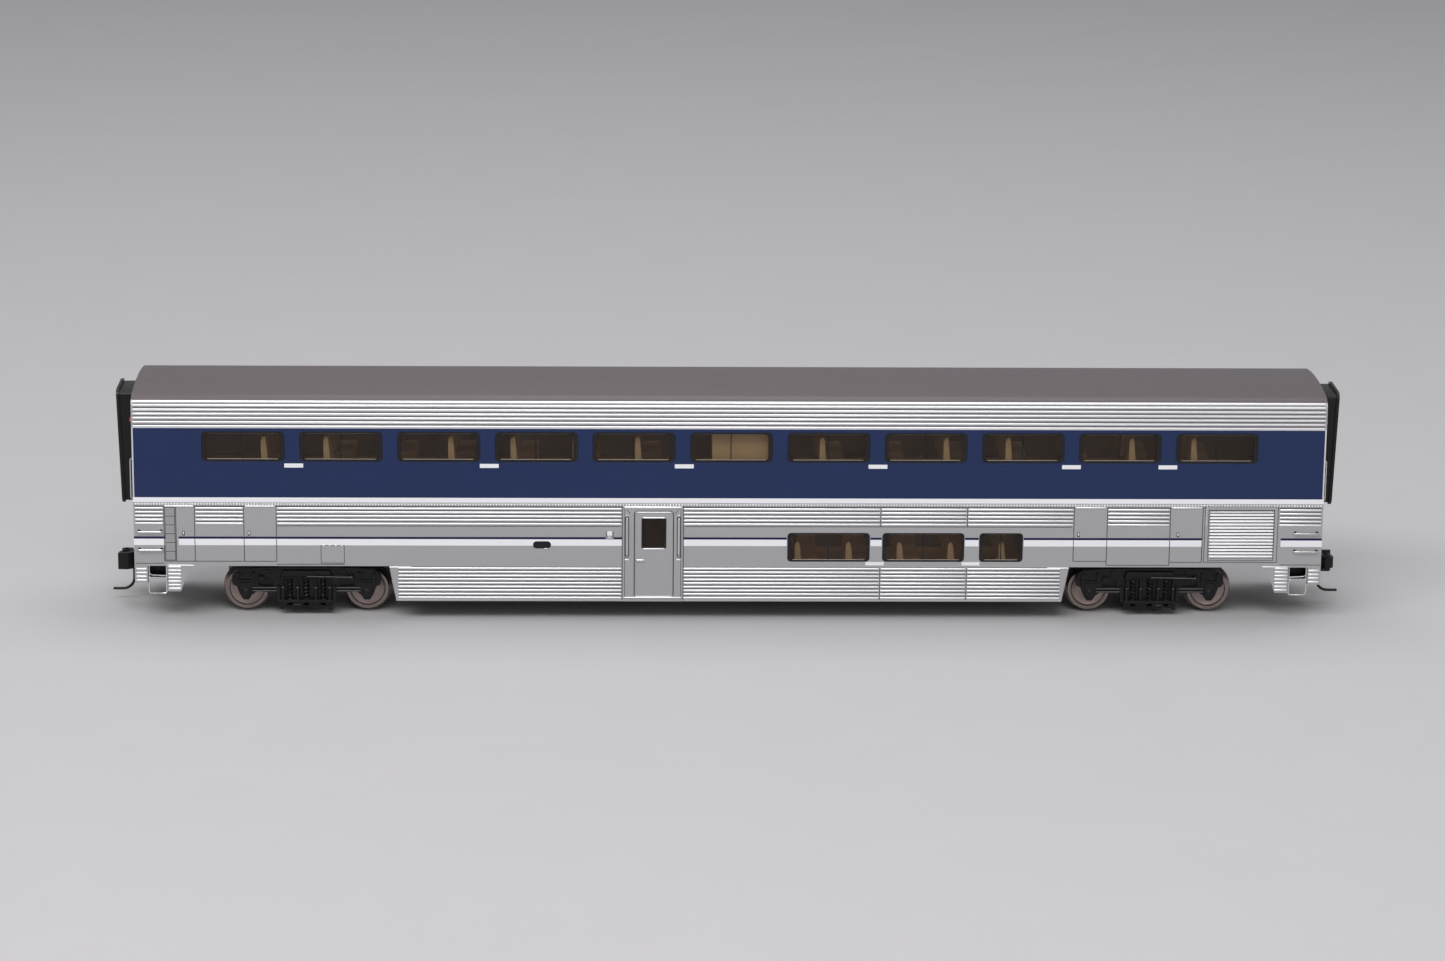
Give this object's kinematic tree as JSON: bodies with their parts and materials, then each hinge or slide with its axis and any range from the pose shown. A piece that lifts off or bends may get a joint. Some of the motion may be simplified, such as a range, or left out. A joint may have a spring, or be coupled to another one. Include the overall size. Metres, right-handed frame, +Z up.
{
  "type": "model passenger coach",
  "caption": "HO-scale bi-level railway passenger coach with plated fluted sides, a blue window band, sprung diaphragms, knuckle couplers and swivelling trucks.",
  "frame": {"origin": "centre of the coach on the plane under the wheel flanges", "axes": "+X along the coach towards end B, +Y away from the near side, +Z up"},
  "size_m": [0.306, 0.0372, 0.0574],
  "materials": {
    "plated_plastic": "bright plated plastic with blue, white and navy paint bands",
    "roof_paint": "matt grey paint",
    "black_plastic": "satin black moulding",
    "tinted_glazing": "clear glossy tinted styrene",
    "tan_plastic": "plain tan moulding",
    "steel_wire": "bright wire and turned steel",
    "nickel_silver": "blackened nickel silver with a bright tread",
    "red_lens": "red lens"
  },
  "bodies": {
    "coach_body": {"body_shell": "plated_plastic", "roof": "roof_paint", "upper_glazing_near": "tinted_glazing", "upper_glazing_far": "tinted_glazing", "lower_glazing_near": "tinted_glazing", "lower_glazing_far": "tinted_glazing", "side_doors": "plated_plastic", "door_panes": "tinted_glazing", "end_doors": "plated_plastic", "louvre_grilles": "plated_plastic", "door_handrails": "steel_wire", "grab_irons": "steel_wire", "stirrup_steps": "steel_wire", "step_wells": "black_plastic", "marker_lamps": "red_lens", "underframe": "black_plastic", "upper_deck": "tan_plastic", "upper_seats": "tan_plastic", "lower_deck": "tan_plastic", "lower_seats": "tan_plastic", "stair_core": "tan_plastic", "ballast_weights": "steel_wire", "floor_screws": "steel_wire", "kingpin_screws": "steel_wire", "coupler_pockets": "black_plastic", "coupler_pocket_lids": "black_plastic", "coupler_screws": "steel_wire", "centring_springs": "steel_wire", "gangway_frames": "black_plastic", "diaphragm_springs": "steel_wire"},
    "diaphragm_a": {"diaphragm_plate_a": "black_plastic"},
    "diaphragm_b": {"diaphragm_plate_b": "black_plastic"},
    "truck_a": {"truck_bolster_a": "black_plastic", "side_frames_a": "black_plastic", "spring_plank_a": "black_plastic", "anchor_rods_a": "steel_wire"},
    "truck_b": {"truck_bolster_b": "black_plastic", "side_frames_b": "black_plastic", "spring_plank_b": "black_plastic", "anchor_rods_b": "steel_wire"},
    "wheelset_1": {"wheels_1": "nickel_silver", "axle_1": "steel_wire", "bush_1": "black_plastic"},
    "wheelset_2": {"wheels_2": "nickel_silver", "axle_2": "steel_wire", "bush_2": "black_plastic"},
    "wheelset_3": {"wheels_3": "nickel_silver", "axle_3": "steel_wire", "bush_3": "black_plastic"},
    "wheelset_4": {"wheels_4": "nickel_silver", "axle_4": "steel_wire", "bush_4": "black_plastic"},
    "coupler_a": {"coupler_head_a": "black_plastic", "knuckle_spring_a": "steel_wire", "trip_pin_a": "black_plastic"},
    "knuckle_unit_a": {"knuckle_a": "black_plastic"},
    "coupler_b": {"coupler_head_b": "black_plastic", "knuckle_spring_b": "steel_wire", "trip_pin_b": "black_plastic"},
    "knuckle_unit_b": {"knuckle_b": "black_plastic"}
  },
  "joints": [
    {"name": "truck_a_swivel", "type": "hinge", "parent": "coach_body", "child": "truck_a", "pos_m": [-0.1041, 0, 0.0113], "axis": [0, 0, 1], "range_deg": [-9, 9]},
    {"name": "truck_b_swivel", "type": "hinge", "parent": "coach_body", "child": "truck_b", "pos_m": [0.1041, 0, 0.0113], "axis": [0, 0, 1], "range_deg": [-9, 9]},
    {"name": "wheelset_1_spin", "type": "hinge", "parent": "truck_a", "child": "wheelset_1", "pos_m": [-0.11895, 0, 0.00595], "axis": [0, 1, 0], "continuous": true},
    {"name": "wheelset_2_spin", "type": "hinge", "parent": "truck_a", "child": "wheelset_2", "pos_m": [-0.08925, 0, 0.00595], "axis": [0, 1, 0], "continuous": true},
    {"name": "wheelset_3_spin", "type": "hinge", "parent": "truck_b", "child": "wheelset_3", "pos_m": [0.08925, 0, 0.00595], "axis": [0, 1, 0], "continuous": true},
    {"name": "wheelset_4_spin", "type": "hinge", "parent": "truck_b", "child": "wheelset_4", "pos_m": [0.11895, 0, 0.00595], "axis": [0, 1, 0], "continuous": true},
    {"name": "coupler_a_swing", "type": "hinge", "parent": "coach_body", "child": "coupler_a", "pos_m": [-0.1408, 0, 0.0106], "axis": [0, 0, 1], "range_deg": [-12, 12], "stiffness_Nm_per_rad": 0.0005},
    {"name": "knuckle_a_open", "type": "hinge", "parent": "coupler_a", "child": "knuckle_unit_a", "pos_m": [-0.1498, 0.0017, 0.0106], "axis": [0, 0, -1], "range_deg": [0, 35], "stiffness_Nm_per_rad": 0.0003},
    {"name": "diaphragm_a_slide", "type": "slide", "parent": "coach_body", "child": "diaphragm_a", "axis": [1, 0, 0], "range_m": [0, 0.0015], "stiffness_N_per_m": 60, "deforming": ["diaphragm_springs"]},
    {"name": "coupler_b_swing", "type": "hinge", "parent": "coach_body", "child": "coupler_b", "pos_m": [0.1408, 0, 0.0106], "axis": [0, 0, 1], "range_deg": [-12, 12], "stiffness_Nm_per_rad": 0.0005},
    {"name": "knuckle_b_open", "type": "hinge", "parent": "coupler_b", "child": "knuckle_unit_b", "pos_m": [0.1498, -0.0017, 0.0106], "axis": [0, 0, -1], "range_deg": [0, 35], "stiffness_Nm_per_rad": 0.0003},
    {"name": "diaphragm_b_slide", "type": "slide", "parent": "coach_body", "child": "diaphragm_b", "axis": [-1, 0, 0], "range_m": [0, 0.0015], "stiffness_N_per_m": 60, "deforming": ["diaphragm_springs"]}
  ]
}
